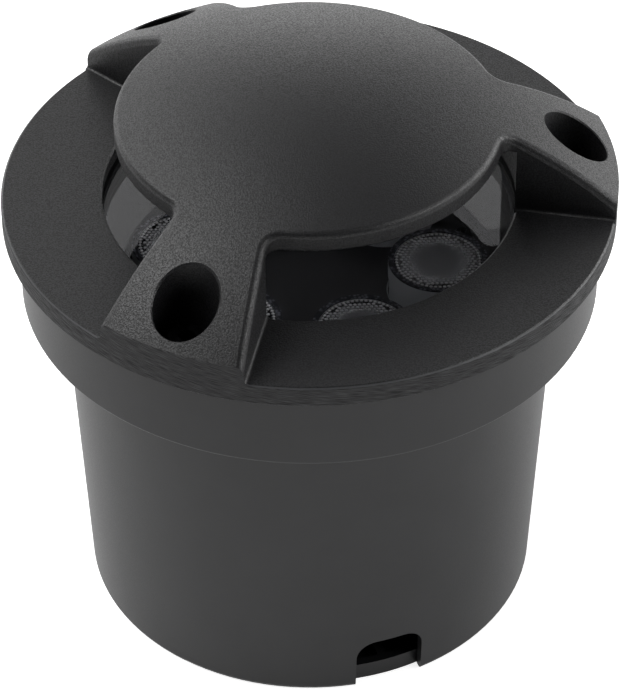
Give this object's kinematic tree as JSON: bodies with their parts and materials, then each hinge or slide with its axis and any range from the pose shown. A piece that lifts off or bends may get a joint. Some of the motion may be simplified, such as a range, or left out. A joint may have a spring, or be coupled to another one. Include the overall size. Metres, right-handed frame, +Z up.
{
  "type": "in-ground well light",
  "caption": "Round in-ground well light with a low dome on legs over a glass-topped LED lamp, hung in a buried plastic sleeve.",
  "frame": {"origin": "centre of the sleeve's foot, on the resting plane", "axes": "+Z up along the lamp's axis; +X towards leg 1; the cable notch is 73.8 degrees clockwise of +X seen from above"},
  "size_m": [0.16, 0.16, 0.158],
  "materials": {
    "sleeve_plastic": "moulded, satin",
    "powder_coat": "fine-sand powder coat",
    "cast_aluminium": "as cast, black e-coat",
    "glass": "polished, toughened",
    "black_rubber": "moulded silicone",
    "black_steel": "black oxide",
    "zinc_steel": "zinc plated",
    "brass": "turned",
    "lens_acrylic": "polished, pebbled",
    "cup_plastic": "moulded, satin",
    "led_package": "phosphor",
    "black_anodised": "matt black",
    "white_board": "solder mask",
    "green_board": "solder mask",
    "thermal_pad": "soft pad",
    "component_black": "moulded",
    "capacitor_can": "sleeved can",
    "terminal_green": "moulded",
    "red_insulation": "extruded",
    "black_insulation": "extruded",
    "black_nylon": "moulded"
  },
  "bodies": {
    "sleeve": {"sleeve": "sleeve_plastic", "base_plate": "sleeve_plastic", "base_plate_screws": "zinc_steel", "threaded_inserts": "brass"},
    "lamp": {"cover": "powder_coat", "glass": "glass", "glass_gasket": "black_rubber", "housing": "cast_aluminium", "flange_screws": "zinc_steel", "lens_cup_1": "cup_plastic", "lens_cup_2": "cup_plastic", "lens_cup_3": "cup_plastic", "lens_cup_4": "cup_plastic", "lens_cup_5": "cup_plastic", "lens_cup_6": "cup_plastic", "lens_1": "lens_acrylic", "lens_2": "lens_acrylic", "lens_3": "lens_acrylic", "lens_4": "lens_acrylic", "lens_5": "lens_acrylic", "lens_6": "lens_acrylic", "led_1": "led_package", "led_2": "led_package", "led_3": "led_package", "led_4": "led_package", "led_5": "led_package", "led_6": "led_package", "led_board": "white_board", "thermal_pad": "thermal_pad", "board_screws": "zinc_steel", "bezel_plate": "black_anodised", "bezel_screws": "zinc_steel", "driver_board": "green_board", "driver_standoffs": "zinc_steel", "driver_screws": "zinc_steel", "driver_capacitor": "capacitor_can", "driver_inductor": "component_black", "driver_chip": "component_black", "terminal_block": "terminal_green", "lead_red": "red_insulation", "lead_black": "black_insulation", "lead_grommet": "black_rubber", "rear_cap": "cast_aluminium", "rear_gasket": "black_rubber", "rear_cap_screws": "zinc_steel", "gland_body": "black_nylon", "gland_washer": "black_rubber", "gland_locknut": "black_nylon", "gland_seal": "black_rubber", "vent_plug": "black_nylon"},
    "screw_1": {"cover_screw_1": "black_steel", "screw_washer_1": "black_steel"},
    "screw_2": {"cover_screw_2": "black_steel", "screw_washer_2": "black_steel"},
    "screw_3": {"cover_screw_3": "black_steel", "screw_washer_3": "black_steel"},
    "gland_nut": {"gland_nut": "black_nylon"}
  },
  "joints": [
    {"name": "lamp_lift", "type": "slide", "parent": "sleeve", "child": "lamp", "axis": [0, 0, 1], "range_m": [0, 0.11]},
    {"name": "screw_1_out", "type": "slide", "parent": "lamp", "child": "screw_1", "axis": [0, 0, 1], "range_m": [0, 0.022]},
    {"name": "screw_2_out", "type": "slide", "parent": "lamp", "child": "screw_2", "axis": [0, 0, 1], "range_m": [0, 0.022]},
    {"name": "screw_3_out", "type": "slide", "parent": "lamp", "child": "screw_3", "axis": [0, 0, 1], "range_m": [0, 0.022]},
    {"name": "gland_nut_turn", "type": "hinge", "parent": "lamp", "child": "gland_nut", "pos_m": [0, 0, 0.03], "axis": [0, 0, 1], "continuous": true}
  ]
}
